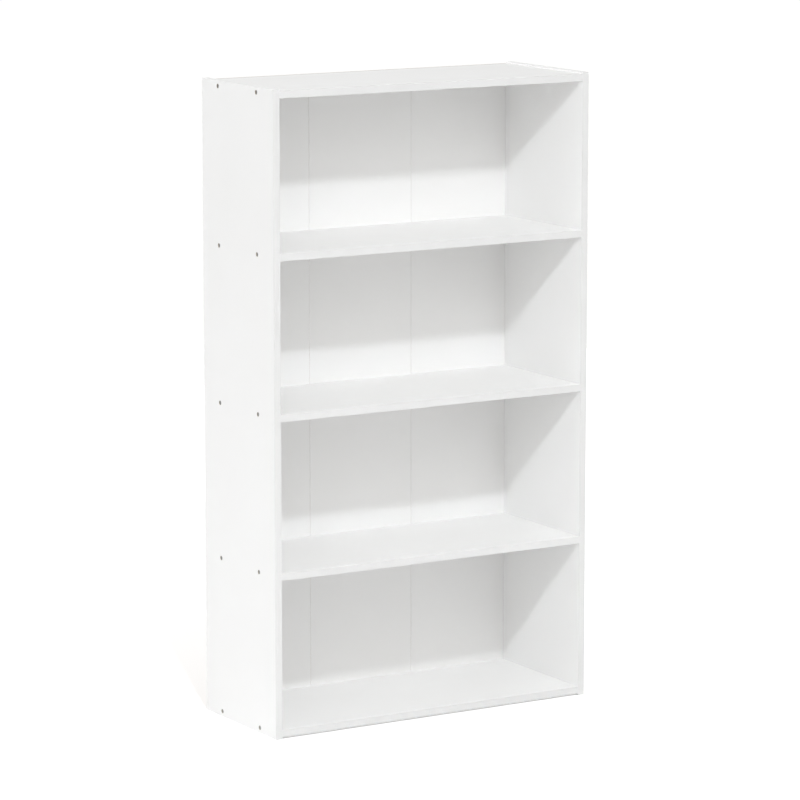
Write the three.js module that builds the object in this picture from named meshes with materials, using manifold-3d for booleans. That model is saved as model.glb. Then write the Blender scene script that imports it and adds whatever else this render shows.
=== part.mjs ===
// A flat-pack open bookcase: two sides, a top, a bottom and three fixed shelves of laminated
// particleboard, screwed together through the sides, with a three-leaf folding back nailed on.
// Millimetres. X runs across the front from left to right, Y from front to back, Z up.
// The origin is on the floor, in the middle of the whole object's footprint.
import * as THREE from "three";
import { mergeVertices } from "three/addons/utils/BufferGeometryUtils.js";
import Module from "manifold-3d";

const wasm = await Module();
wasm.setup();

// Whole object.
const WIDTH = 600;
const DEPTH = 240;
const HEIGHT = 1060;

// Boards.
const BOARD = 12;
const RIM = 3; // the sides run this far past the top panel, and past the bottom panel to the floor
const BAND = 0.5; // edge banding
const LEVEL_NAMES = ["bottom_panel", "shelf_lower", "shelf_middle", "shelf_upper", "top_panel"];

// Folding back.
const LEAF_NAMES = ["left", "centre", "right"];
const LEAF_THICKNESS = 2.75;
const TAPE_THICKNESS = 0.25;
const TAPE_WIDTH = 30;
const FOLD_GAP = 0.8;
const BACK_INSET = 2; // from each side's outer face

// Countersunk chipboard screws, 3.5 x 35, two to a joint.
const SCREW_SPACING = 128;
const SCREW_LENGTH = 35;
const SCREW_SINK = 0.75; // how far the head lies below the side's face
const HEAD_RADIUS = 3.5;
const HEAD_RIM = 0.4;
const HEAD_HEIGHT = 2.4;
const CORE_RADIUS = 1.25;
const TIP_LENGTH = 4.5;
const THREAD_CLEARANCE_RADIUS = 2.2; // plain hole through the side
const RECESS_WIDTH = 0.9;
const RECESS_SPAN = 3.8;
const RECESS_DEPTH = 1.4;

// Flat-headed nails that hold the back.
const NAIL_LENGTH = 17;
const NAIL_HEAD_RADIUS = 2;
const NAIL_HEAD_HEIGHT = 0.75;
const NAIL_RADIUS = 0.8;
const NAIL_EDGE_INSET = 45; // outer nails on each level, from the side's outer face

const GAP = 0.3; // between a fastener and its hole
const OVERRUN = 1; // how far a cutter runs past the face that it cuts
const SCREW_SIDES = 16;
const NAIL_SIDES = 12;

// Worked out.
const FRONT = -DEPTH / 2;
const BOARD_FRONT = FRONT + BAND;
const BOARD_REAR = DEPTH / 2 - TAPE_THICKNESS - LEAF_THICKNESS;
const LEAF_REAR = DEPTH / 2 - TAPE_THICKNESS;
const OUTER = WIDTH / 2;
const INNER = OUTER - BOARD;
const BOARD_MIDDLE_Y = (FRONT + BOARD_REAR) / 2;
const LEVEL_PITCH = (HEIGHT - 2 * RIM - BOARD) / (LEVEL_NAMES.length - 1);
const levelBottom = (level) => RIM + level * LEVEL_PITCH;
const levelMiddle = (level) => levelBottom(level) + BOARD / 2;

// Materials.
const finish = (color, roughness, metalness = 0) =>
  new THREE.MeshStandardMaterial({ color, roughness, metalness });
const WHITE_LAMINATE = finish(0xf3f2ef, 0.45);
const WHITE_BAND = finish(0xf6f5f3, 0.4);
const BACK_BOARD = finish(0xf1f0ed, 0.5);
const FOLD_TAPE = finish(0xd9d3c6, 0.6);
const ZINC_SCREW = finish(0x9a9a9c, 0.35, 1);
const NAIL_STEEL = finish(0xb4b4b2, 0.4, 1);

const bookcase = new THREE.Group();

function addPiece(name, geometry, material) {
  geometry.computeVertexNormals();
  const mesh = new THREE.Mesh(geometry, material);
  mesh.name = name;
  bookcase.add(mesh);
}

// A box from its lowest to its highest corner.
function block(low, high) {
  const size = high.map((value, axis) => value - low[axis]);
  const middle = high.map((value, axis) => (value + low[axis]) / 2);
  return new THREE.BoxGeometry(...size).translate(...middle);
}

// Turns a profile of [distance along the axis, radius] points about +Y.
function turned(profile, sides) {
  const points = profile.map(([along, radius]) => new THREE.Vector2(radius, along));
  return new THREE.LatheGeometry(points, sides);
}

// Closed geometry to a solid that can be cut, and back.
function solidOf(geometry) {
  const bare = geometry.clone();
  bare.deleteAttribute("normal");
  bare.deleteAttribute("uv");
  const merged = mergeVertices(bare, 1e-4);
  const corners = merged.index.array;
  const kept = [];
  for (let i = 0; i < corners.length; i += 3) {
    const [a, b, c] = corners.slice(i, i + 3);
    if (a !== b && b !== c && c !== a) kept.push(a, b, c);
  }
  const vertProperties = new Float32Array(merged.attributes.position.array);
  const triVerts = new Uint32Array(kept);
  return new wasm.Manifold(new wasm.Mesh({ numProp: 3, vertProperties, triVerts }));
}

function geometryOf(solid) {
  const { vertProperties, triVerts } = solid.getMesh();
  const geometry = new THREE.BufferGeometry();
  geometry.setAttribute("position", new THREE.BufferAttribute(vertProperties, 3));
  geometry.setIndex(new THREE.BufferAttribute(triVerts, 1));
  return geometry.toNonIndexed();
}

function cut(geometry, cutters) {
  const solid = cutters.reduce((rest, cutter) => rest.subtract(solidOf(cutter)), solidOf(geometry));
  return geometryOf(solid);
}

// Screws lie along X. A profile's distance is counted from the side's outer face inwards.
const SCREW_DIRECTIONS = { left: 1, right: -1 };
const SCREW_ROWS = {
  front: BOARD_MIDDLE_Y - SCREW_SPACING / 2,
  rear: BOARD_MIDDLE_Y + SCREW_SPACING / 2,
};

function placeScrew(geometry, side, row, level) {
  const direction = SCREW_DIRECTIONS[side];
  geometry.rotateZ((-direction * Math.PI) / 2);
  return geometry.translate(-direction * OUTER, SCREW_ROWS[row], levelMiddle(level));
}

function screwGeometry() {
  const body = turned(
    [
      [SCREW_SINK, 0],
      [SCREW_SINK, HEAD_RADIUS],
      [SCREW_SINK + HEAD_RIM, HEAD_RADIUS],
      [SCREW_SINK + HEAD_HEIGHT, CORE_RADIUS],
      [SCREW_SINK + SCREW_LENGTH - TIP_LENGTH, CORE_RADIUS],
      [SCREW_SINK + SCREW_LENGTH, 0],
    ],
    SCREW_SIDES,
  );
  const slot = block(
    [-RECESS_SPAN / 2, SCREW_SINK - OVERRUN, -RECESS_WIDTH / 2],
    [RECESS_SPAN / 2, SCREW_SINK + RECESS_DEPTH, RECESS_WIDTH / 2],
  );
  const crossSlot = slot.clone().rotateY(Math.PI / 2);
  return cut(body, [slot, crossSlot]);
}

// The countersunk hole through a side.
function screwHole() {
  const seat = SCREW_SINK + HEAD_RIM + GAP;
  const coneHeight = HEAD_HEIGHT - HEAD_RIM;
  const coneSlope = (HEAD_RADIUS - CORE_RADIUS) / coneHeight;
  const mouthRadius = HEAD_RADIUS + GAP;
  const coneEnd = seat + (mouthRadius - THREAD_CLEARANCE_RADIUS) / coneSlope;
  return turned(
    [
      [-OVERRUN, 0],
      [-OVERRUN, mouthRadius],
      [seat, mouthRadius],
      [coneEnd, THREAD_CLEARANCE_RADIUS],
      [BOARD + OVERRUN, THREAD_CLEARANCE_RADIUS],
      [BOARD + OVERRUN, 0],
    ],
    SCREW_SIDES,
  );
}

// The pilot hole in the end of a horizontal board.
function screwPilot() {
  const radius = CORE_RADIUS + GAP;
  const end = SCREW_SINK + SCREW_LENGTH + OVERRUN;
  return turned(
    [
      [BOARD - OVERRUN, 0],
      [BOARD - OVERRUN, radius],
      [end, radius],
      [end, 0],
    ],
    SCREW_SIDES,
  );
}

// Nails lie along Y. A profile's distance is counted from the leaf's rear face forwards.
const NAIL_COLUMNS = { left: -OUTER + NAIL_EDGE_INSET, centre: 0, right: OUTER - NAIL_EDGE_INSET };
const SIDE_NAIL_BAYS = { lower: 1, upper: 2 }; // the bays beside the middle shelf, counted from the floor
const bayMiddle = (bay) => (levelMiddle(bay) + levelMiddle(bay + 1)) / 2;
const SIDE_NAIL_X = { left: -OUTER + BOARD / 2, right: OUTER - BOARD / 2 };

const levelNails = LEVEL_NAMES.flatMap((levelName, level) =>
  Object.entries(NAIL_COLUMNS).map(([column, x]) => ({
    name: `back_nail_${levelName}_${column}`,
    board: levelName,
    leaf: column,
    x,
    z: levelMiddle(level),
  })),
);
const sideNails = Object.entries(SIDE_NAIL_X).flatMap(([side, x]) =>
  Object.entries(SIDE_NAIL_BAYS).map(([height, bay]) => ({
    name: `back_nail_side_${side}_${height}`,
    board: `${side}_side_panel`,
    leaf: side,
    x,
    z: bayMiddle(bay),
  })),
);
const nails = [...levelNails, ...sideNails];

function placeNail(geometry, nail) {
  return geometry.rotateX(Math.PI).translate(nail.x, LEAF_REAR, nail.z);
}

function nailGeometry() {
  return turned(
    [
      [0, 0],
      [0, NAIL_HEAD_RADIUS],
      [NAIL_HEAD_HEIGHT, NAIL_HEAD_RADIUS],
      [NAIL_HEAD_HEIGHT, NAIL_RADIUS],
      [NAIL_LENGTH - 2 * NAIL_RADIUS, NAIL_RADIUS],
      [NAIL_LENGTH, 0],
    ],
    NAIL_SIDES,
  );
}

// The hole that the nail makes in the leaf, with its head flush, and in the board behind it.
function nailHole() {
  const headRadius = NAIL_HEAD_RADIUS + GAP;
  const shankRadius = NAIL_RADIUS + GAP;
  return turned(
    [
      [-OVERRUN, 0],
      [-OVERRUN, headRadius],
      [NAIL_HEAD_HEIGHT, headRadius],
      [NAIL_HEAD_HEIGHT, shankRadius],
      [NAIL_LENGTH + GAP, shankRadius],
      [NAIL_LENGTH + GAP, 0],
    ],
    NAIL_SIDES,
  );
}

const nailCutters = (key, value) =>
  nails.filter((nail) => nail[key] === value).map((nail) => placeNail(nailHole(), nail));

// Side panels, with a band down the front edge and along the top edge.
function addSide(side) {
  const direction = SCREW_DIRECTIONS[side];
  const spanX = [-direction * OUTER, -direction * INNER].sort((a, b) => a - b);
  const panel = block(
    [spanX[0], BOARD_FRONT, 0],
    [spanX[1], BOARD_REAR, HEIGHT - BAND],
  );
  const holes = LEVEL_NAMES.flatMap((_, level) =>
    Object.keys(SCREW_ROWS).map((row) => placeScrew(screwHole(), side, row, level)),
  );
  const name = `${side}_side_panel`;
  addPiece(name, cut(panel, [...holes, ...nailCutters("board", name)]), WHITE_LAMINATE);
  addPiece(
    `${side}_side_front_band`,
    block([spanX[0], FRONT, 0], [spanX[1], BOARD_FRONT, HEIGHT]),
    WHITE_BAND,
  );
  addPiece(
    `${side}_side_top_band`,
    block([spanX[0], BOARD_FRONT, HEIGHT - BAND], [spanX[1], BOARD_REAR, HEIGHT]),
    WHITE_BAND,
  );
}

// A horizontal board between the sides, with a band along its front edge.
function addLevel(name, level) {
  const bottom = levelBottom(level);
  const board = block([-INNER, BOARD_FRONT, bottom], [INNER, BOARD_REAR, bottom + BOARD]);
  const pilots = Object.keys(SCREW_DIRECTIONS).flatMap((side) =>
    Object.keys(SCREW_ROWS).map((row) => placeScrew(screwPilot(), side, row, level)),
  );
  addPiece(name, cut(board, [...pilots, ...nailCutters("board", name)]), WHITE_LAMINATE);
  addPiece(
    `${name}_front_band`,
    block([-INNER, FRONT, bottom], [INNER, BOARD_FRONT, bottom + BOARD]),
    WHITE_BAND,
  );
}

// The back: three hardboard leaves, joined by a tape over each fold.
function addBack() {
  const bottom = RIM;
  const top = HEIGHT - RIM;
  const backWidth = WIDTH - 2 * BACK_INSET;
  const leafPitch = (backWidth + FOLD_GAP) / LEAF_NAMES.length;
  LEAF_NAMES.forEach((leaf, index) => {
    const left = -backWidth / 2 + index * leafPitch;
    const sheet = block(
      [left, BOARD_REAR, bottom],
      [left + leafPitch - FOLD_GAP, LEAF_REAR, top],
    );
    addPiece(`back_leaf_${leaf}`, cut(sheet, nailCutters("leaf", leaf)), BACK_BOARD);
  });
  for (const [side, direction] of [["left", -1], ["right", 1]]) {
    const fold = (direction * leafPitch) / 2;
    addPiece(
      `back_fold_tape_${side}`,
      block(
        [fold - TAPE_WIDTH / 2, LEAF_REAR, bottom],
        [fold + TAPE_WIDTH / 2, LEAF_REAR + TAPE_THICKNESS, top],
      ),
      FOLD_TAPE,
    );
  }
}

function addScrews() {
  for (const side of Object.keys(SCREW_DIRECTIONS)) {
    LEVEL_NAMES.forEach((levelName, level) => {
      for (const row of Object.keys(SCREW_ROWS)) {
        const geometry = placeScrew(screwGeometry(), side, row, level);
        addPiece(`screw_${levelName}_${side}_${row}`, geometry, ZINC_SCREW);
      }
    });
  }
}

function addNails() {
  for (const nail of nails) {
    addPiece(nail.name, placeNail(nailGeometry(), nail), NAIL_STEEL);
  }
}

addSide("left");
addSide("right");
LEVEL_NAMES.forEach(addLevel);
addBack();
addScrews();
addNails();

export default bookcase;
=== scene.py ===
"""The looks of a flat-pack open bookcase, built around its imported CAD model.

Metres, in the CAD model's frame: X across the front, Y from front to back, Z up, origin on the floor.
"""

import math

import bmesh
import bpy
from mathutils import Matrix, Vector


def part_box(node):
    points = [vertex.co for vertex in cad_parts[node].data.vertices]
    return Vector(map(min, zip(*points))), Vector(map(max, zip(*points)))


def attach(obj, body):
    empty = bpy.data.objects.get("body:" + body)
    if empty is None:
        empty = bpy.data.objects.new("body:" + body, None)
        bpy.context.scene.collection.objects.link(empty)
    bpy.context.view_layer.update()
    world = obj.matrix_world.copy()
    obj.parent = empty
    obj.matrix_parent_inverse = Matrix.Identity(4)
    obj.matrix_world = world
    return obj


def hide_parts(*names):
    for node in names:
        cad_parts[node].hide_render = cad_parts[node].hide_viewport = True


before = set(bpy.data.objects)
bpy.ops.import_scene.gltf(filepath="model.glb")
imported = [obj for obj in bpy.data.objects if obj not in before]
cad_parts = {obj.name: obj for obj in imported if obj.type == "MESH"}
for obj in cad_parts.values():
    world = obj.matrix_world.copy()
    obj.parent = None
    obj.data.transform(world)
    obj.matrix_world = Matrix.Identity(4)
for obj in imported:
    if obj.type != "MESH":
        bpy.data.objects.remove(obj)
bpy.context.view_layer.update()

MM = 0.001

BODY = "root"
SIDES = ("left", "right")
LEVELS = ("bottom_panel", "shelf_lower", "shelf_middle", "shelf_upper", "top_panel")
LEAVES = ("left", "centre", "right")
SCREW_NODES = sorted(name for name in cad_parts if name.startswith("screw_"))
NAIL_NODES = sorted(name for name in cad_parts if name.startswith("back_nail_"))

# Eased arrises.
BOARD_EASE = 0.3 * MM
BAND_EASE = 0.25 * MM
LEAF_EASE = 0.3 * MM
EASE_SEGMENTS = 3

# The front foil runs on over a fold as a shallow crease.
FOIL_THICKNESS = 0.25 * MM
CREASE_HALF = 1.7 * MM
CREASE_DEPTH = 0.5 * MM
CREASE_SLIT = 0.16 * MM

# The tapes on the rear dip a little over the folds and have cut edges.
TAPE_CREASE_HALF = 1.2 * MM
TAPE_CREASE_DEPTH = 0.12 * MM
TAPE_EDGE = 0.12 * MM

# Screws, 3.5 x 35.
THREAD_RADIUS = 1.75 * MM
THREAD_CORE_RADIUS = 1.15 * MM
THREAD_PITCH = 1.6 * MM
THREAD_FOOT = 0.34  # share of a pitch that the thread takes at its foot
STEPS_PER_PITCH = 10
SHANK_LENGTH = 6 * MM  # plain, below the head
TIP_LENGTH = 6 * MM
TIP_CURVE = 0.8  # power of the point's taper
HEAD_CONE_HEIGHT = 2.0 * MM
HEAD_RIM = 0.35 * MM
HEAD_FACE_EDGE = 0.12 * MM
DRIVEN_TURN = 2.4  # radians from one screw's recess to the next one's

# The cross recess in a screw's head.
RECESS_RADIUS = 2.1 * MM
RECESS_DEPTH = 1.7 * MM
RECESS_WING = 0.55 * MM
RECESS_ABOVE = 0.3 * MM  # how far its cutter reaches out of the head
RECESS_MOUTH_SHARE = 1.1  # of the radius, at the cutter's outer end
RECESS_FLOOR_SHARE = 0.35

# The countersunk seats of the screws in the sides.
SEAT_CLEARANCE = 0.1 * MM
SEAT_CONE_SHARE = 0.85  # of the head's cone, down to the shank's hole
SEAT_ABOVE = 1.5 * MM  # how far its cutter reaches out past the head
SHANK_HOLE_RADIUS = 2.1 * MM
SHANK_HOLE_END = 14 * MM

# The holes that the screws make in the boards' ends.
PILOT_START = 8 * MM
PILOT_CLEARANCE = 0.05 * MM
PILOT_OVERRUN = 1 * MM

# Nails and their holes.
NAIL_HEAD_HEIGHT = 0.75 * MM
NAIL_HEAD_EDGE = 0.15 * MM
NAIL_RADIUS = 0.8 * MM
NAIL_POINT_LENGTH = 2.4 * MM
NAIL_TIP_LENGTH = 0.2 * NAIL_POINT_LENGTH
NAIL_TIP_RADIUS = 0.3 * NAIL_RADIUS
NAIL_GRIP_RINGS = 7
NAIL_GRIP_DEPTH = 0.09 * MM
NAIL_GRIP_PITCH = 0.6 * MM
NAIL_CLEARANCE = 0.06 * MM
NAIL_HOLE_ABOVE = 1 * MM
NAIL_HOLE_OVERRUN = 0.3 * MM

# Sides of round meshes.
SEAT_SIDES = 40
SCREW_SIDES = 32
SMALL_SIDES = 24
SMOOTH_ANGLE = math.radians(35)


# ---------------------------------------------------------------------------------------------
# Mesh helpers
# ---------------------------------------------------------------------------------------------


def new_object(name, bm, material=None):
    """A mesh object made from bm, which is used up."""
    mesh = bpy.data.meshes.new(name)
    bmesh.ops.recalc_face_normals(bm, faces=bm.faces)
    bm.to_mesh(mesh)
    bm.free()
    obj = bpy.data.objects.new(name, mesh)
    bpy.context.scene.collection.objects.link(obj)
    if material:
        mesh.materials.append(material)
    return obj


def finish_piece(obj, slot, *nodes):
    """The piece rides on the body and stands for its CAD nodes, which are hidden."""
    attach(obj, BODY)
    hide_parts(*nodes)


def piece_name(node):
    return f"{node}_finished"


def block(low, high):
    """A bmesh box from its lowest to its highest corner."""
    bm = bmesh.new()
    size = high - low
    place = Matrix.Translation((low + high) / 2) @ Matrix.Diagonal((*size, 1))
    bmesh.ops.create_cube(bm, size=1, matrix=place)
    return bm


def upright(outline, bottom, top):
    """A bmesh prism that stands on a plan outline of (x, y) points."""
    bm = bmesh.new()
    ends = [[bm.verts.new((x, y, z)) for x, y in outline] for z in (bottom, top)]
    for end in ends:
        bm.faces.new(end)
    for i in range(len(outline)):
        j = (i + 1) % len(outline)
        bm.faces.new([ends[0][i], ends[0][j], ends[1][j], ends[1][i]])
    return bm


def ease(bm, radius, wanted):
    """Rounds the edges for which wanted(middle, direction) is true."""
    picked = []
    for edge in bm.edges:
        start, end = (vertex.co for vertex in edge.verts)
        if wanted((start + end) / 2, (end - start).normalized()):
            picked.append(edge)
    bmesh.ops.bevel(
        bm,
        geom=picked,
        offset=radius,
        segments=EASE_SEGMENTS,
        profile=0.5,
        affect="EDGES",
        clamp_overlap=True,
    )


def ring(bm, sides, height, radius_at):
    """The vertices of a ring about +Z whose radius depends on the angle."""
    turns = [math.tau * i / sides for i in range(sides)]
    return [bm.verts.new((radius_at(t) * math.cos(t), radius_at(t) * math.sin(t), height)) for t in turns]


def skin(bm, rings, sides):
    """Faces from each ring to the next one; a ring of one vertex closes an end."""
    for lower, upper in zip(rings, rings[1:]):
        for i in range(sides):
            j = (i + 1) % sides
            below = [lower[i % len(lower)], lower[j % len(lower)]]
            above = [upper[j % len(upper)], upper[i % len(upper)]]
            bm.faces.new(list(dict.fromkeys(below + above)))


def turned(profile, sides):
    """A bmesh turned about +Z from (height, radius) points; radius 0 closes an end."""
    bm = bmesh.new()
    rings = []
    for height, radius in profile:
        if radius == 0:
            rings.append([bm.verts.new((0, 0, height))])
        else:
            rings.append(ring(bm, sides, height, lambda t: radius))
    skin(bm, rings, sides)
    return bm


def placed(bm, matrix):
    bmesh.ops.transform(bm, matrix=matrix, verts=bm.verts)
    return bm


def joined(meshes):
    """One bmesh that holds all of them."""
    whole = bmesh.new()
    for bm in meshes:
        part = bpy.data.meshes.new("part")
        bm.to_mesh(part)
        bm.free()
        whole.from_mesh(part)
        bpy.data.meshes.remove(part)
    return whole


def cut(obj, cutters):
    """Cuts the closed bmeshes out of obj's mesh."""
    tool = new_object("cutter", joined(cutters))
    modifier = obj.modifiers.new("cut", "BOOLEAN")
    modifier.operation = "DIFFERENCE"
    modifier.solver = "EXACT"
    modifier.object = tool
    graph = bpy.context.evaluated_depsgraph_get()
    result = bpy.data.meshes.new_from_object(obj.evaluated_get(graph))
    obj.modifiers.remove(modifier)
    plain = obj.data
    obj.data = result
    bpy.data.meshes.remove(plain)
    bpy.data.objects.remove(tool)
    return obj


def smooth_round(obj):
    """Smooth shading, with the edges sharper than SMOOTH_ANGLE kept crisp."""
    mesh = obj.data
    bm = bmesh.new()
    bm.from_mesh(mesh)
    for face in bm.faces:
        face.smooth = True
    for edge in bm.edges:
        edge.smooth = edge.is_manifold and edge.calc_face_angle() < SMOOTH_ANGLE
    bm.to_mesh(mesh)
    bm.free()


# ---------------------------------------------------------------------------------------------
# Materials
# ---------------------------------------------------------------------------------------------


def feed(socket, value):
    """Links a node's output to a socket, or sets the socket to a plain value."""
    if isinstance(value, bpy.types.NodeSocket):
        socket.id_data.links.new(value, socket)
    else:
        socket.default_value = value


def add_node(tree, kind, settings=None, **inputs):
    """A new node; an input's name has _ for each space."""
    node = tree.nodes.new(kind)
    for key, value in (settings or {}).items():
        setattr(node, key, value)
    for key, value in inputs.items():
        feed(node.inputs[key.replace("_", " ")], value)
    return node


class Shader:
    """A node material with a Principled BSDF, and short calls to add nodes to it."""

    def __init__(self, name, **sockets):
        self.material = bpy.data.materials.new(name)
        self.material.use_nodes = True
        self.tree = self.material.node_tree
        self.surface = self.tree.nodes["Principled BSDF"]
        for socket, value in sockets.items():
            self.surface.inputs[socket.replace("_", " ")].default_value = value

    def add(self, kind, settings=None, **inputs):
        return add_node(self.tree, kind, settings, **inputs)

    def link(self, output, socket):
        feed(self.surface.inputs[socket], output)

    def place(self, scale):
        """Object coordinates in metres, stretched by scale."""
        coordinates = self.add("ShaderNodeTexCoord")
        mapping = self.add("ShaderNodeMapping", Vector=coordinates.outputs["Object"], Scale=scale)
        return mapping.outputs["Vector"]

    def noise(self, scale, detail, roughness=0.5, stretch=(1, 1, 1)):
        """Soft noise with about scale features per metre."""
        node = self.add(
            "ShaderNodeTexNoise",
            Vector=self.place(stretch),
            Scale=scale,
            Detail=detail,
            Roughness=roughness,
        )
        return node.outputs["Fac"]

    def cells(self, scale):
        """Voronoi cells, about scale of them per metre: (distance, colour)."""
        node = self.add("ShaderNodeTexVoronoi", Vector=self.place((1, 1, 1)), Scale=scale)
        return node.outputs["Distance"], node.outputs["Color"]

    def ranged(self, value, low, high, source):
        """value, taken from the source range to low ... high and kept within it."""
        limits = {"From_Min": source[0], "From_Max": source[1], "To_Min": low, "To_Max": high}
        return self.add("ShaderNodeMapRange", Value=value, **limits).outputs["Result"]

    def mottle(self, scale, detail):
        """Soft patches that reach from 0 to 1."""
        return self.ranged(self.noise(scale, detail), 0, 1, NARROW)

    def blend(self, factor, first, second):
        """first where factor is 0, second where it is 1; plain colours or outputs."""
        node = self.add("ShaderNodeMix", {"data_type": "RGBA"})
        feed(node.inputs[0], factor)
        for index, value in ((6, first), (7, second)):
            feed(node.inputs[index], (*value, 1) if isinstance(value, tuple) else value)
        return node.outputs[2]

    def scalar_blend(self, factor, first, second):
        """first where factor is 0, second where it is 1; plain numbers or outputs."""
        node = self.add("ShaderNodeMix", {"data_type": "FLOAT"})
        for index, value in ((0, factor), (2, first), (3, second)):
            feed(node.inputs[index], value)
        return node.outputs[0]

    def math(self, operation, *values):
        node = self.add("ShaderNodeMath", {"operation": operation})
        for index, value in enumerate(values):
            feed(node.inputs[index], value)
        return node.outputs[0]

    def facing(self, axis, threshold):
        """1 where the surface faces along axis, else 0; either way along it, or one way if signed."""
        geometry = self.add("ShaderNodeNewGeometry")
        parts = self.add("ShaderNodeSeparateXYZ", Vector=geometry.outputs["Normal"])
        along = parts.outputs["XYZ".index(axis[-1])]
        if axis[0] == "-":
            along = self.math("MULTIPLY", along, -1.0)
        else:
            along = self.math("ABSOLUTE", along)
        return self.math("GREATER_THAN", along, threshold)

    def bump(self, height, distance, strength):
        node = self.add("ShaderNodeBump", Height=height, Distance=distance, Strength=strength)
        return node.outputs["Normal"]


# Ranges of a noise that are stretched out: most of its values lie in either of them.
NARROW = (0.35, 0.65)
WIDE = (0.3, 0.7)

# How squarely a surface has to face along an axis: a flat face, and a face with its eased arrises.
SQUARELY = 0.85
ROUGHLY = 0.3

# Colours, each with the shade or tint that it drifts to. The edge bands' front faces take a greyer white,
# which is painted shade; their other faces take the boards' white.
WHITE = (0.913, 0.911, 0.906)
WHITE_SHADE = (0.903, 0.9, 0.894)
# Painted shade: the greyer white of the edge bands' front faces, and the tone that it drifts to.
BAND_FRONT_PAINTED_SHADE = (0.722, 0.72, 0.713)
BAND_FRONT_PAINTED_SHADE_DRIFT = (0.708, 0.705, 0.698)
FOIL_WHITE = (0.868, 0.864, 0.857)
FOIL_SHADE = (0.858, 0.853, 0.845)
CHIP_DARK = (0.21, 0.155, 0.1)
CHIP_MIDDLE = (0.43, 0.34, 0.235)
CHIP_PALE = (0.6, 0.5, 0.375)
HARDBOARD_DARK = (0.2, 0.115, 0.06)
HARDBOARD_PALE = (0.31, 0.19, 0.105)
TAPE_WHITE = (0.78, 0.77, 0.73)
TAPE_SHADE = (0.7, 0.68, 0.63)
ZINC = (0.46, 0.46, 0.47)
ZINC_TINT = (0.4, 0.4, 0.385)
NAIL_STEEL = (0.6, 0.6, 0.6)
NAIL_TINT = (0.5, 0.49, 0.47)

# Roughness: one value, or the range that it varies over.
BOARD_ROUGHNESS = (0.36, 0.46)
CHIP_ROUGHNESS = 0.85
BAND_ROUGHNESS = (0.3, 0.42)
FOIL_ROUGHNESS = (0.44, 0.54)
HARDBOARD_ROUGHNESS = 0.72
TAPE_ROUGHNESS = 0.68
ZINC_ROUGHNESS = (0.28, 0.42)
NAIL_ROUGHNESS = (0.32, 0.46)
FLOOR_ROUGHNESS = 0.9

# How fine the patterns are, in features per metre.
CHIP_SCALE = 420
CHIP_DUST_SCALE = 1500
CHIP_EDGE_SCALE = 900
BOARD_TONE_SCALE = 5
BOARD_SATIN_SCALE = 55
PEBBLE_SCALE = 700
RIPPLE_SCALE = 160
BAND_LINE_SCALE = 1400
BAND_TONE_SCALE = 9
FOIL_TONE_SCALE = 6
FOIL_SATIN_SCALE = 90
FOIL_PAPER_SCALE = 480
HARDBOARD_FIBRE_SCALE = 520
HARDBOARD_FLECK_SCALE = 2200
TAPE_FIBRE_SCALE = 1100
TAPE_WRINKLE_SCALE = 300
PLATING_SCALE = 900
SCRATCH_SCALE = 4000

# How deep the patterns are.
BOARD_BUMP = 0.25 * MM
BAND_BUMP = 0.02 * MM
LEAF_BUMP = 0.2 * MM
TAPE_BUMP = 0.05 * MM
STEEL_BUMP = 0.01 * MM


def particleboard(shader):
    """Pressed chips: (colour, height)."""
    distance, chip = shader.cells(CHIP_SCALE)
    value = shader.add("ShaderNodeSeparateColor", Color=chip).outputs[0]
    pale = shader.blend(shader.ranged(value, 0, 1, (0.25, 0.95)), CHIP_MIDDLE, CHIP_PALE)
    dust = shader.ranged(shader.noise(CHIP_DUST_SCALE, 3), 0, 1, (0.42, 0.62))
    colour = shader.blend(shader.math("MULTIPLY", dust, 0.7), pale, CHIP_DARK)
    height = shader.math("ADD", distance, shader.noise(CHIP_EDGE_SCALE, 3))
    return colour, height


def white_board_material(thin_axis):
    """White melamine on both broad faces of a particleboard, which shows raw on its cut edges."""
    shader = Shader(f"white_board_{thin_axis}")
    faced = shader.facing(thin_axis, SQUARELY)
    white = shader.blend(shader.mottle(BOARD_TONE_SCALE, 2), WHITE, WHITE_SHADE)
    chips, chip_height = particleboard(shader)
    shader.link(shader.blend(faced, chips, white), "Base Color")
    satin = shader.ranged(shader.noise(BOARD_SATIN_SCALE, 4), *BOARD_ROUGHNESS, WIDE)
    shader.link(shader.scalar_blend(faced, CHIP_ROUGHNESS, satin), "Roughness")
    ripple = shader.math("MULTIPLY", shader.noise(RIPPLE_SCALE, 1), 0.6)
    pebble = shader.math("ADD", shader.noise(PEBBLE_SCALE, 2), ripple)
    height = shader.scalar_blend(faced, chip_height, shader.math("MULTIPLY", pebble, 0.07))
    shader.link(shader.bump(height, BOARD_BUMP, 0.8), "Normal")
    return shader.material


def edge_band_material(long_axis):
    """A thin white strip with faint drawn lines along its length, greyer on a front face with painted
    shade.
    """
    shader = Shader(f"edge_band_{long_axis}")
    stretch = tuple(0.03 if axis == long_axis else 1 for axis in "XYZ")
    lines = shader.noise(BAND_LINE_SCALE, 2, stretch=stretch)
    tone = shader.mottle(BAND_TONE_SCALE, 2)
    # Painted shade: faces that look forwards get a greyer white than the band's own, in place of the light
    # that they miss.
    front = shader.blend(tone, BAND_FRONT_PAINTED_SHADE, BAND_FRONT_PAINTED_SHADE_DRIFT)
    trimmed = shader.blend(tone, WHITE, WHITE_SHADE)
    shader.link(shader.blend(shader.facing("-Y", ROUGHLY), trimmed, front), "Base Color")
    shader.link(shader.ranged(lines, *BAND_ROUGHNESS, WIDE), "Roughness")
    shader.link(shader.bump(lines, BAND_BUMP, 0.6), "Normal")
    return shader.material


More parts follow.
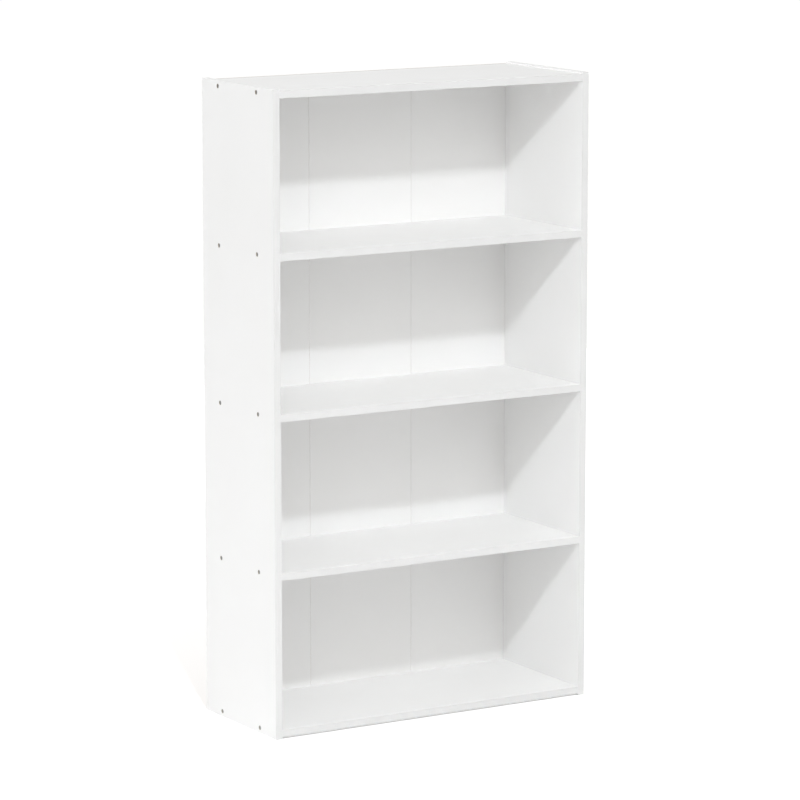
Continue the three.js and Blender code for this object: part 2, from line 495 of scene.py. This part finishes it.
def back_leaf_material():
    """Thin hardboard: white paper foil on the front, bare brown on the rear and the cut edges."""
    shader = Shader("back_leaf")
    foil = shader.facing("-Y", ROUGHLY)
    white = shader.blend(shader.mottle(FOIL_TONE_SCALE, 3), FOIL_WHITE, FOIL_SHADE)
    fibre = shader.noise(HARDBOARD_FIBRE_SCALE, 5, 0.65, stretch=(1, 1, 0.45))
    fleck = shader.ranged(shader.noise(HARDBOARD_FLECK_SCALE, 2), 0, 1, (0.45, 0.7))
    brown = shader.blend(shader.ranged(fibre, 0, 1, NARROW), HARDBOARD_DARK, HARDBOARD_PALE)
    brown = shader.blend(shader.math("MULTIPLY", fleck, 0.5), brown, CHIP_MIDDLE)
    shader.link(shader.blend(foil, brown, white), "Base Color")
    satin = shader.ranged(shader.noise(FOIL_SATIN_SCALE, 3), *FOIL_ROUGHNESS, WIDE)
    shader.link(shader.scalar_blend(foil, HARDBOARD_ROUGHNESS, satin), "Roughness")
    paper = shader.math("MULTIPLY", shader.noise(FOIL_PAPER_SCALE, 3), 0.12)
    shader.link(shader.bump(shader.scalar_blend(foil, fibre, paper), LEAF_BUMP, 0.7), "Normal")
    return shader.material


def fold_tape_material():
    """White paper tape with short fibres and fine cross wrinkles."""
    shader = Shader("fold_tape", Roughness=TAPE_ROUGHNESS)
    fibre = shader.noise(TAPE_FIBRE_SCALE, 4, 0.6, stretch=(1, 1, 0.3))
    shader.link(shader.blend(shader.ranged(fibre, 0, 1, WIDE), TAPE_SHADE, TAPE_WHITE), "Base Color")
    wrinkle = shader.noise(TAPE_WRINKLE_SCALE, 3, stretch=(0.15, 1, 1))
    height = shader.math("ADD", fibre, wrinkle)
    shader.link(shader.bump(height, TAPE_BUMP, 0.7), "Normal")
    return shader.material


def steel_material(name, colour, tint, roughness):
    """Bright metal whose plating varies a little."""
    shader = Shader(name, Metallic=1.0)
    shader.link(shader.blend(shader.mottle(PLATING_SCALE, 3), colour, tint), "Base Color")
    scratch = shader.noise(SCRATCH_SCALE, 2, stretch=(0.3, 1, 1))
    shader.link(shader.ranged(scratch, *roughness, WIDE), "Roughness")
    shader.link(shader.bump(scratch, STEEL_BUMP, 0.5), "Normal")
    return shader.material


# ---------------------------------------------------------------------------------------------
# Screws and nails
# ---------------------------------------------------------------------------------------------


def screw_frame(node):
    """Where a screw's head lies and which way it points, as a matrix that takes +Z to its axis."""
    low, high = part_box(node)
    middle = (low + high) / 2
    inwards = 1 if middle.x < 0 else -1
    mouth = Vector((low.x if inwards > 0 else high.x, middle.y, middle.z))
    return Matrix.Translation(mouth) @ Matrix.Rotation(inwards * math.pi / 2, 4, "Y")


def screw_size():
    """(length, head radius) of a screw."""
    low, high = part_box(SCREW_NODES[0])
    return high.x - low.x, (high.z - low.z) / 2


def threaded_screw():
    """The master screw, its head's face at height 0 and its point at the screw's length."""
    length, head_radius = screw_size()
    thread_start = HEAD_RIM + HEAD_CONE_HEIGHT + SHANK_LENGTH
    shank_radius = (THREAD_RADIUS + THREAD_CORE_RADIUS) / 2

    def thread_radius(height, t):
        phase = (height / THREAD_PITCH - t / math.tau) % 1.0
        rise = max(0.0, 1.0 - abs(phase - 0.5) / (THREAD_FOOT / 2))
        run_in = min(1.0, (height - thread_start) / THREAD_PITCH)
        flank = (THREAD_RADIUS - THREAD_CORE_RADIUS) * rise * run_in
        taper = min(1.0, (length - height) / TIP_LENGTH)
        return (THREAD_CORE_RADIUS + flank) * taper**TIP_CURVE

    bm = bmesh.new()
    rings = [[bm.verts.new((0, 0, 0))]]
    for height, radius in (
        (0, head_radius - HEAD_FACE_EDGE),
        (HEAD_FACE_EDGE, head_radius),
        (HEAD_RIM, head_radius),
        (HEAD_RIM + HEAD_CONE_HEIGHT, shank_radius),
        (thread_start - THREAD_PITCH, shank_radius),
    ):
        rings.append(ring(bm, SCREW_SIDES, height, lambda t: radius))
    step = THREAD_PITCH / STEPS_PER_PITCH
    height = thread_start
    while height < length - step / 2:
        rings.append(ring(bm, SCREW_SIDES, height, lambda t: thread_radius(height, t)))
        height += step
    rings.append([bm.verts.new((0, 0, length))])
    skin(bm, rings, SCREW_SIDES)
    return bm


def cross_recess():
    """Two crossed wedges that cut the driver's recess into a head at height 0."""
    wedges = []
    half = RECESS_WING / 2
    for turn in (0, math.pi / 2):
        bm = bmesh.new()
        rows = []
        for z, share in ((-RECESS_ABOVE, RECESS_MOUTH_SHARE), (RECESS_DEPTH, RECESS_FLOOR_SHARE)):
            reach = RECESS_RADIUS * share
            corners = ((-reach, -half), (reach, -half), (reach, half), (-reach, half))
            rows.append([bm.verts.new((x, y, z)) for x, y in corners])
        bm.faces.new(rows[0])
        bm.faces.new(rows[1])
        for i in range(4):
            j = (i + 1) % 4
            bm.faces.new([rows[0][i], rows[0][j], rows[1][j], rows[1][i]])
        bmesh.ops.recalc_face_normals(bm, faces=bm.faces)
        wedges.append(placed(bm, Matrix.Rotation(turn, 4, "Z")))
    return wedges


def add_screws(material):
    master = new_object("screw_master", threaded_screw(), material)
    for wedge in cross_recess():
        cut(master, [wedge])
    smooth_round(master)
    for index, node in enumerate(SCREW_NODES):
        screw = bpy.data.objects.new(piece_name(node), master.data)
        bpy.context.scene.collection.objects.link(screw)
        screw.matrix_world = screw_frame(node) @ Matrix.Rotation(index * DRIVEN_TURN, 4, "Z")
        finish_piece(screw, "screw_zinc", node)
    bpy.data.objects.remove(master)


def screw_seat(node):
    """The countersunk hole of a screw through a side."""
    _, head_radius = screw_size()
    mouth = head_radius + SEAT_CLEARANCE
    seat = HEAD_RIM + SEAT_CLEARANCE
    profile = (
        (-SEAT_ABOVE, 0),
        (-SEAT_ABOVE, mouth),
        (seat, mouth),
        (seat + HEAD_CONE_HEIGHT * SEAT_CONE_SHARE, SHANK_HOLE_RADIUS),
        (SHANK_HOLE_END, SHANK_HOLE_RADIUS),
        (SHANK_HOLE_END, 0),
    )
    return placed(turned(profile, SEAT_SIDES), screw_frame(node))


def screw_pilot(node):
    """The hole that a screw's core takes in a board's end."""
    length, _ = screw_size()
    radius = THREAD_CORE_RADIUS + PILOT_CLEARANCE
    profile = ((PILOT_START, 0), (PILOT_START, radius), (length, radius), (length + PILOT_OVERRUN, 0))
    return placed(turned(profile, SMALL_SIDES), screw_frame(node))


def nail_frame(node):
    """Where a nail's head lies, as a matrix that takes +Z to its direction, which is forwards."""
    low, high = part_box(node)
    mouth = Vector(((low.x + high.x) / 2, high.y, (low.z + high.z) / 2))
    return Matrix.Translation(mouth) @ Matrix.Rotation(math.pi / 2, 4, "X")


def nail_size():
    """(length, head radius) of a nail."""
    low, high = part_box(NAIL_NODES[0])
    return high.y - low.y, (high.z - low.z) / 2


def nail_mesh():
    """A flat head with a soft rim, grip rings under it, a plain shank and a point."""
    length, head_radius = nail_size()
    profile = [
        (0.0, 0),
        (0.0, head_radius - NAIL_HEAD_EDGE),
        (NAIL_HEAD_EDGE, head_radius),
        (NAIL_HEAD_HEIGHT - NAIL_HEAD_EDGE, head_radius),
        (NAIL_HEAD_HEIGHT, head_radius - NAIL_HEAD_EDGE),
        (NAIL_HEAD_HEIGHT, NAIL_RADIUS),
    ]
    height = NAIL_HEAD_HEIGHT + NAIL_GRIP_PITCH
    for _ in range(NAIL_GRIP_RINGS):
        profile.append((height, NAIL_RADIUS))
        profile.append((height + NAIL_GRIP_PITCH / 2, NAIL_RADIUS - NAIL_GRIP_DEPTH))
        height += NAIL_GRIP_PITCH
    profile.append((height, NAIL_RADIUS))
    profile.append((length - NAIL_POINT_LENGTH, NAIL_RADIUS))
    profile.append((length - NAIL_TIP_LENGTH, NAIL_TIP_RADIUS))
    profile.append((length, 0))
    return turned(profile, SMALL_SIDES)


def add_nails(material):
    master = new_object("nail_master", nail_mesh(), material)
    smooth_round(master)
    for node in NAIL_NODES:
        nail = bpy.data.objects.new(piece_name(node), master.data)
        bpy.context.scene.collection.objects.link(nail)
        nail.matrix_world = nail_frame(node)
        finish_piece(nail, "nail_steel", node)
    bpy.data.objects.remove(master)


def nail_hole(node):
    """The hole that a nail makes: its flush head's pocket and its shank's bore."""
    length, head_radius = nail_size()
    profile = (
        (-NAIL_HOLE_ABOVE, 0),
        (-NAIL_HOLE_ABOVE, head_radius + NAIL_CLEARANCE),
        (NAIL_HEAD_HEIGHT, head_radius + NAIL_CLEARANCE),
        (NAIL_HEAD_HEIGHT, NAIL_RADIUS + NAIL_CLEARANCE),
        (length, NAIL_RADIUS + NAIL_CLEARANCE),
        (length + NAIL_HOLE_OVERRUN, 0),
    )
    return placed(turned(profile, SMALL_SIDES), nail_frame(node))


# ---------------------------------------------------------------------------------------------
# Boards, bands and back
# ---------------------------------------------------------------------------------------------


def add_side(side, board_material, band_materials):
    """A side panel with its screw and nail holes, and its front and top edge bands."""
    node = f"{side}_side_panel"
    low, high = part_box(node)
    bm = block(low, high)

    def open_arris(middle, direction):
        at_rear = abs(middle.y - high.y) < BOARD_EASE
        at_floor = abs(middle.z - low.z) < BOARD_EASE and abs(direction.y) > 0.5
        return at_rear or at_floor

    ease(bm, BOARD_EASE, open_arris)
    panel = new_object(piece_name(node), bm, board_material)
    own_screws = [name for name in SCREW_NODES if f"_{side}_" in name]
    own_nails = [name for name in NAIL_NODES if f"_side_{side}_" in name]
    cutters = [screw_seat(name) for name in own_screws] + [nail_hole(name) for name in own_nails]
    finish_piece(cut(panel, cutters), "white_laminate", node)

    front = f"{side}_side_front_band"
    low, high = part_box(front)
    bm = block(low, high)
    ease(bm, BAND_EASE, lambda middle, direction: abs(middle.y - low.y) < BAND_EASE)
    finish_piece(new_object(piece_name(front), bm, band_materials["Z"]), "white_edge_band", front)

    top = f"{side}_side_top_band"
    low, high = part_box(top)
    bm = block(low, high)
    ease(
        bm,
        BAND_EASE,
        lambda middle, direction: abs(middle.z - high.z) < BAND_EASE and abs(middle.y - low.y) > BAND_EASE,
    )
    finish_piece(new_object(piece_name(top), bm, band_materials["Y"]), "white_edge_band", top)


def add_level(level, board_material, band_material):
    """A horizontal board with its screw and nail holes, and its front edge band."""
    board = new_object(piece_name(level), block(*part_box(level)), board_material)
    own_screws = [name for name in SCREW_NODES if name.startswith(f"screw_{level}_")]
    own_nails = [name for name in NAIL_NODES if name.startswith(f"back_nail_{level}_")]
    cutters = [screw_pilot(name) for name in own_screws] + [nail_hole(name) for name in own_nails]
    finish_piece(cut(board, cutters), "white_laminate", level)

    band = f"{level}_front_band"
    low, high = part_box(band)
    bm = block(low, high)

    def long_front_arris(middle, direction):
        return abs(middle.y - low.y) < BAND_EASE and abs(direction.x) > 0.5

    ease(bm, BAND_EASE, long_front_arris)
    finish_piece(new_object(piece_name(band), bm, band_material), "white_edge_band", band)


def leaf_outline(leaf):
    """A leaf's section: a slab whose front foil reaches over the gap of each fold that it has."""
    low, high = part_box(f"back_leaf_{leaf}")
    index = LEAVES.index(leaf)
    left, right = [(low.x, low.y), (low.x, high.y)], [(high.x, high.y), (high.x, low.y)]
    if index > 0:
        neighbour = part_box(f"back_leaf_{LEAVES[index - 1]}")[1].x
        left = fold_section(low.x, (low.x + neighbour) / 2, low.y, high.y)
    if index < len(LEAVES) - 1:
        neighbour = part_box(f"back_leaf_{LEAVES[index + 1]}")[0].x
        right = fold_section(high.x, (high.x + neighbour) / 2, low.y, high.y)[::-1]
    return left + right


def fold_section(edge, fold, front, rear):
    """The points of a leaf's section at a fold, from the front face round to the rear one."""
    outwards = 1 if fold > edge else -1
    lip = fold - outwards * CREASE_SLIT / 2
    return [
        (fold - outwards * CREASE_HALF, front),
        (lip, front + CREASE_DEPTH),
        (lip, front + CREASE_DEPTH + FOIL_THICKNESS),
        (edge, front + CREASE_DEPTH + FOIL_THICKNESS),
        (edge, rear),
    ]


def add_leaves(material):
    """The leaves of the folding back, with their nail holes."""
    for leaf in LEAVES:
        node = f"back_leaf_{leaf}"
        low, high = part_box(node)
        bm = upright(leaf_outline(leaf), low.z, high.z)
        ease(bm, LEAF_EASE, lambda middle, direction: abs(middle.y - high.y) < LEAF_EASE)
        own_nails = [
            name for name in NAIL_NODES if low.x < sum(corner.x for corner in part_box(name)) / 2 < high.x
        ]
        sheet = new_object(piece_name(node), bm, material)
        finish_piece(cut(sheet, [nail_hole(name) for name in own_nails]), "back_board", node)


def add_tapes(material):
    """The tapes over the folds, on the rear."""
    for side in SIDES:
        node = f"back_fold_tape_{side}"
        low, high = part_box(node)
        middle_x = (low.x + high.x) / 2
        outline = (
            (low.x, low.y),
            (high.x, low.y),
            (high.x, high.y - TAPE_EDGE),
            (high.x - TAPE_EDGE, high.y),
            (middle_x + TAPE_CREASE_HALF, high.y),
            (middle_x, high.y - TAPE_CREASE_DEPTH),
            (middle_x - TAPE_CREASE_HALF, high.y),
            (low.x + TAPE_EDGE, high.y),
            (low.x, high.y - TAPE_EDGE),
        )
        bm = upright(outline, low.z, high.z)
        finish_piece(new_object(piece_name(node), bm, material), "fold_tape", node)


# ---------------------------------------------------------------------------------------------
# Camera, floor and light
# ---------------------------------------------------------------------------------------------

CAMERA_PLACE = (-3.414, -5.689, 1.662)
CAMERA_YAW = math.radians(-31.02)
CAMERA_PITCH = math.radians(9.79)
CAMERA_LENS = 181.7
CAMERA_REACH = 100

FLOOR_SIZE = 6
FLOOR_WHITE = (0.9, 0.9, 0.9)
FLOOR_LIFT = 0.38  # added where the floor is looked at

LAMP_TARGET = (0, 0, 0.5)
KEY_PLACE = (-1.3, -2.78, 2.95)
KEY_RADIUS = 0.1
KEY_POWER = 12.2
KEY_COLOUR = (0.97, 1.0, 1.03)
LEFT_PLACE = (-3.4, 0.1, 1.9)
LEFT_SIZE = 1.6
LEFT_POWER = 15.5
HIGH_PLACE = (-2.6, -3.0, 2.8)
HIGH_SIZE = 1.4
HIGH_POWER = 18
FRONT_PLACE = (0.2, -3.6, 3.0)
FRONT_SIZE = 2.4
FRONT_POWER = 28
SKY_COLOUR = (1.0, 0.997, 0.988)
SKY_STRENGTH = 0.685
LOW_SKY_STRENGTH = 0.4
HORIZON_BLUR = 0.02
PLAIN_WHITE = 1.02  # the sky's strength where it is looked at


def add_camera():
    data = bpy.data.cameras.new("camera")
    data.lens = CAMERA_LENS
    data.clip_end = CAMERA_REACH
    camera = bpy.data.objects.new("camera", data)
    camera.location = CAMERA_PLACE
    camera.rotation_euler = (math.pi / 2 - CAMERA_PITCH, 0, CAMERA_YAW)
    bpy.context.scene.collection.objects.link(camera)
    bpy.context.scene.camera = camera


def seen_or_not(tree, seen, unseen):
    """A strength with one value where it is looked at and another as light on the object."""
    looked_at = add_node(tree, "ShaderNodeLightPath").outputs["Is Camera Ray"]
    choice = add_node(tree, "ShaderNodeMapRange", Value=looked_at, To_Min=unseen, To_Max=seen)
    return choice.outputs["Result"]


def add_floor():
    bm = bmesh.new()
    bmesh.ops.create_grid(bm, x_segments=1, y_segments=1, size=FLOOR_SIZE / 2)
    shader = Shader(
        "pale_floor",
        Base_Color=(*FLOOR_WHITE, 1),
        Roughness=FLOOR_ROUGHNESS,
        Specular_IOR_Level=0.0,
        Emission_Color=(1, 1, 1, 1),
    )
    shader.link(seen_or_not(shader.tree, FLOOR_LIFT, 0.0), "Emission Strength")
    floor = new_object("floor", bm, shader.material)


def add_lamp(name, kind, place, power):
    """A lamp that the camera doesn't see, turned to the object's middle: its settings."""
    data = bpy.data.lights.new(name, kind)
    data.energy = power
    lamp = bpy.data.objects.new(name, data)
    lamp.location = place
    lamp.rotation_euler = (Vector(LAMP_TARGET) - Vector(place)).to_track_quat("-Z", "Y").to_euler()
    lamp.visible_camera = False
    bpy.context.scene.collection.objects.link(lamp)
    return data


def add_key():
    """The lamp that draws the shadows; it doesn't fade with distance."""
    key = add_lamp("key", "POINT", KEY_PLACE, KEY_POWER)
    key.color = KEY_COLOUR
    key.shadow_soft_size = KEY_RADIUS
    key.use_nodes = True
    falloff = add_node(key.node_tree, "ShaderNodeLightFalloff", Strength=1.0)
    feed(key.node_tree.nodes["Emission"].inputs["Strength"], falloff.outputs["Constant"])


def add_sky():
    """Pale above the horizon and dimmer below it, but plain white where it is looked at."""
    world = bpy.data.worlds.new("studio")
    world.use_nodes = True
    tree = world.node_tree
    direction = add_node(tree, "ShaderNodeTexCoord")
    parts = add_node(tree, "ShaderNodeSeparateXYZ", Vector=direction.outputs["Generated"])
    sky = add_node(
        tree,
        "ShaderNodeMapRange",
        Value=parts.outputs["Z"],
        From_Min=-HORIZON_BLUR,
        From_Max=HORIZON_BLUR,
        To_Min=LOW_SKY_STRENGTH,
        To_Max=SKY_STRENGTH,
    )
    background = tree.nodes["Background"]
    background.inputs["Color"].default_value = (*SKY_COLOUR, 1)
    feed(background.inputs["Strength"], seen_or_not(tree, PLAIN_WHITE, sky.outputs["Result"]))
    bpy.context.scene.world = world


def add_light():
    add_key()
    add_lamp("left_soft", "AREA", LEFT_PLACE, LEFT_POWER).size = LEFT_SIZE
    add_lamp("high_soft", "AREA", HIGH_PLACE, HIGH_POWER).size = HIGH_SIZE
    add_lamp("front_soft", "AREA", FRONT_PLACE, FRONT_POWER).size = FRONT_SIZE
    add_sky()
    bpy.context.scene.view_settings.view_transform = "Standard"


# ---------------------------------------------------------------------------------------------
# The whole
# ---------------------------------------------------------------------------------------------


def build():
    add_camera()
    add_floor()
    add_light()
    side_board = white_board_material("X")
    level_board = white_board_material("Z")
    bands = {axis: edge_band_material(axis) for axis in "XYZ"}
    for side in SIDES:
        add_side(side, side_board, bands)
    for level in LEVELS:
        add_level(level, level_board, bands["X"])
    add_leaves(back_leaf_material())
    add_tapes(fold_tape_material())
    add_screws(steel_material("zinc_plate", ZINC, ZINC_TINT, ZINC_ROUGHNESS))
    add_nails(steel_material("nail_steel", NAIL_STEEL, NAIL_TINT, NAIL_ROUGHNESS))


build()
